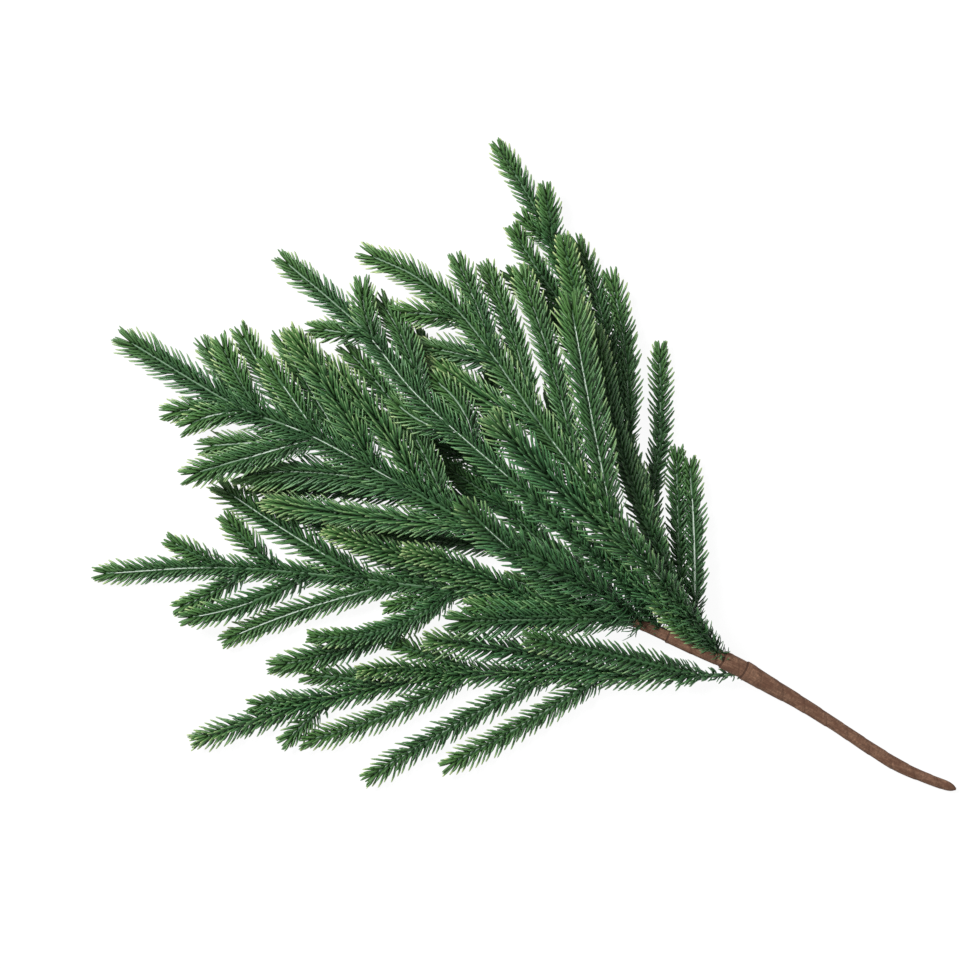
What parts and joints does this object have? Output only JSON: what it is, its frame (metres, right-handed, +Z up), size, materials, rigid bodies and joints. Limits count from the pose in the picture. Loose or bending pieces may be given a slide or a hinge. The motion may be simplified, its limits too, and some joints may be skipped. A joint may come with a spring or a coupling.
{
  "type": "fir branch",
  "caption": "Loose fir branch lying flat: a tape-wrapped stem that fans out into sprays of forked twigs set all round with short curved needles, for wreaths, table displays and packaging scenes",
  "frame": {"origin": "centre of the branch's outline on the surface it lies on", "axes": "+X from the fan of sprays toward the cut end of the stem, +Y across the fan, +Z up from the surface it lies on"},
  "size_m": [0.5203, 0.3941, 0.0828],
  "materials": {
    "tape": "matt wrapped paper tape",
    "needles": "satin moulded needles, paler at the tips"
  },
  "bodies": {
    "root": {"stem": "tape", "front_spine": "needles", "front_twig_1": "needles", "front_twig_2": "needles", "front_twig_3": "needles", "front_twig_4": "needles", "front_twig_5": "needles", "front_twig_6": "needles", "front_twig_7": "needles", "front_twig_8": "needles", "left_spine": "needles", "left_twig_1": "needles", "left_twig_10": "needles", "left_twig_2": "needles", "left_twig_3": "needles", "left_twig_4": "needles", "left_twig_5": "needles", "left_twig_6": "needles", "left_twig_7": "needles", "left_twig_8": "needles", "left_twig_9": "needles", "low_spine": "needles", "low_twig_1": "needles", "low_twig_2": "needles", "low_twig_3": "needles", "low_twig_4": "needles", "low_twig_5": "needles", "low_twig_6": "needles", "low_twig_7": "needles", "middle_spine": "needles", "middle_twig_1": "needles", "middle_twig_2": "needles", "middle_twig_3": "needles", "middle_twig_4": "needles", "right_spine": "needles", "right_twig_1": "needles", "top_spine": "needles", "top_twig_1": "needles", "top_twig_2": "needles", "top_twig_3": "needles", "top_twig_4": "needles", "top_twig_5": "needles", "under_spine": "needles", "under_twig_1": "needles", "under_twig_2": "needles", "under_twig_3": "needles", "under_twig_4": "needles", "under_twig_5": "needles", "under_twig_6": "needles", "upper_left_spine": "needles", "upper_left_twig_1": "needles", "upper_left_twig_10": "needles", "upper_left_twig_2": "needles", "upper_left_twig_3": "needles", "upper_left_twig_4": "needles", "upper_left_twig_5": "needles", "upper_left_twig_6": "needles", "upper_left_twig_7": "needles", "upper_left_twig_8": "needles", "upper_left_twig_9": "needles"}
  },
  "joints": []
}
